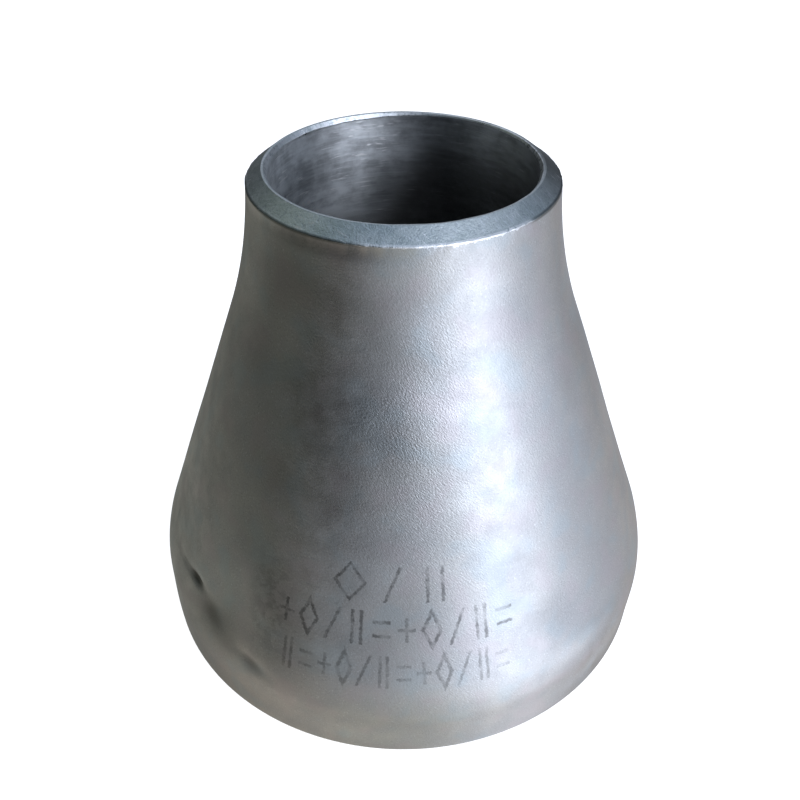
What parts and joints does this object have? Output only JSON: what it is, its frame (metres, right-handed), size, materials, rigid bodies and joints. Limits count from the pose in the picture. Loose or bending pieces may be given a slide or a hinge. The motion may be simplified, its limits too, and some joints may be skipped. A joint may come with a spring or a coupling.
{
  "type": "concentric reducer",
  "caption": "Seamless concentric butt-weld reducer: a bevel-ended large bore tapers through a rounded knuckle, cone and flared neck to a bevel-ended small bore on the same axis.",
  "frame": {"origin": "centre of the large end's root face, which is the lowest face of the part", "axes": "+Z along the common centre line of both ends, from the large end to the small end; X and Y are free about the axis"},
  "size_m": [0.108, 0.108, 0.102],
  "materials": {
    "pickled_steel": "satin, pickled and blasted austenitic stainless steel, with machined weld bevels"
  },
  "bodies": {
    "root": {"reducer_body": "pickled_steel"}
  },
  "joints": []
}
